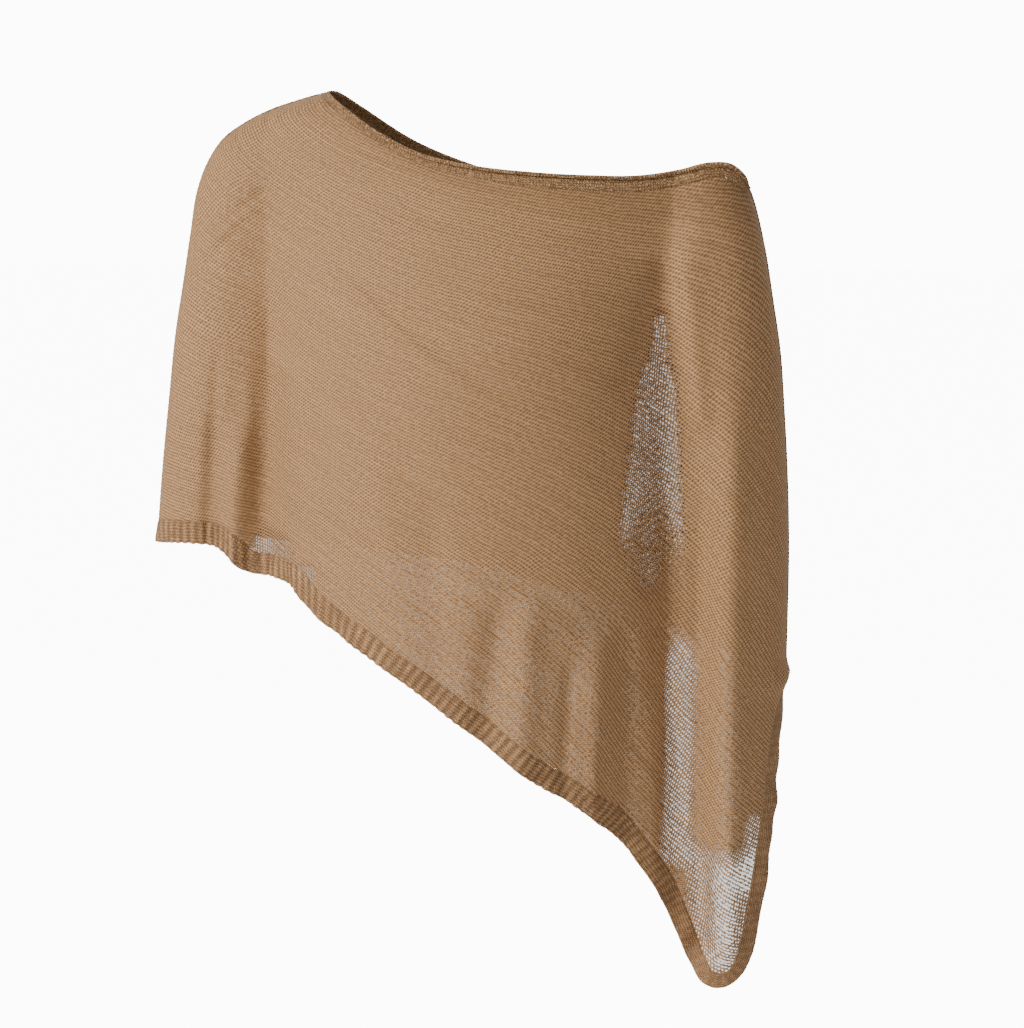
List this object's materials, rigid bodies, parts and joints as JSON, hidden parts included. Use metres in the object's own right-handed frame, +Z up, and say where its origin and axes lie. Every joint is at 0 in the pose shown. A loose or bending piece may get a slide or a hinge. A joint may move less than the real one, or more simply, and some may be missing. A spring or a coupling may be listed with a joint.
{
  "type": "knit beach cover-up",
  "caption": "Sheer knit one-shoulder beach cover-up with a slanted ribbed hem, worn loose over both arms, in its hollow worn form.",
  "frame": {"origin": "inner face of the cloth on top of the wearer's right shoulder, where it is held", "axes": "+Z up, the front faces -Y, +X towards the wearer's left arm"},
  "size_m": [0.4917, 0.2269, 0.6883],
  "materials": {
    "front_knit": "sheer fine-gauge tan knit",
    "back_knit": "sheer fine-gauge tan knit",
    "front_rib_knit": "ribbed tan knit",
    "back_rib_knit": "ribbed tan knit",
    "front_neck_knit": "dense rolled tan knit",
    "back_neck_knit": "dense rolled tan knit"
  },
  "bodies": {
    "root": {"front_panel": "front_knit", "back_panel": "back_knit", "hem_rib_front": "front_rib_knit", "hem_rib_back": "back_rib_knit", "neck_edge_front": "front_neck_knit", "neck_edge_back": "back_neck_knit"}
  },
  "joints": []
}
